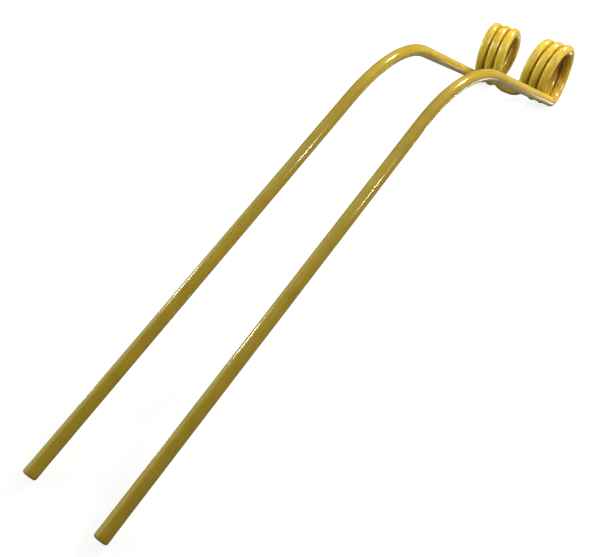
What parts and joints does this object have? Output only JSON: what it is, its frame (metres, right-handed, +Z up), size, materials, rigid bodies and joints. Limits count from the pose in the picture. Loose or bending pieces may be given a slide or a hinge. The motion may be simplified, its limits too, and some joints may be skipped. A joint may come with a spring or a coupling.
{
  "type": "spring tine",
  "caption": "Spring tine for a cultivator or harrow: a round steel bar with coils side by side, joined by a short bridge, each running into a long bent leg, painted ochre yellow",
  "frame": {"origin": "middle of the common axis of the two coils, halfway between them", "axes": "+Y along the coil axis, +Z up, legs towards -X; the tine lies as it rests, on its two tips and the undersides of its two coils"},
  "size_m": [0.6665, 0.1022, 0.1279],
  "materials": {
    "painted_bar": "glossy ochre yellow paint over spring steel"
  },
  "bodies": {
    "root": {"spring_tine": "painted_bar"}
  },
  "joints": []
}
